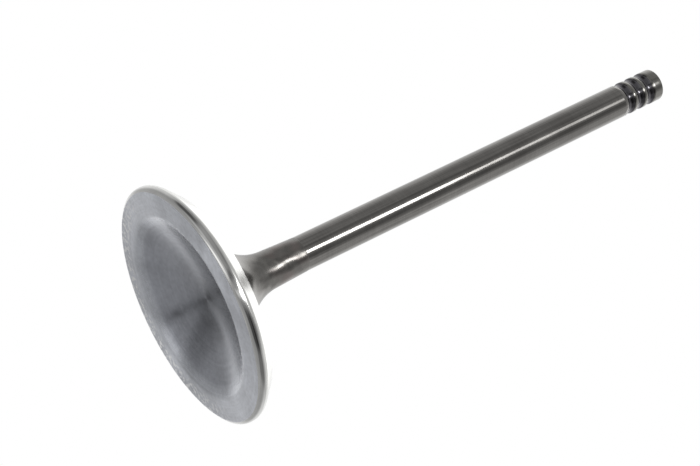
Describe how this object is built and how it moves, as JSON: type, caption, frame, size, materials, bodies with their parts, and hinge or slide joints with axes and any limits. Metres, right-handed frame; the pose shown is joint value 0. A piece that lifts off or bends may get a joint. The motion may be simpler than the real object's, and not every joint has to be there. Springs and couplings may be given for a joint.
{
  "type": "engine valve",
  "caption": "One-piece poppet intake valve: dished tulip head with a ground seat, slim straight stem, and round keeper grooves below the tip.",
  "frame": {"origin": "on the valve's axis, in the plane of the flat ring of the combustion face, which the valve stands on", "axes": "+Z along the stem from the head to the tip; X and Y are any two directions square to it, as the valve is round"},
  "size_m": [0.041, 0.041, 0.102],
  "materials": {
    "valve_steel": "dark polished ground stem, satin forged neck and dished face, lighter ground face ring, margin, seat and tip"
  },
  "bodies": {
    "root": {"valve": "valve_steel"}
  },
  "joints": []
}
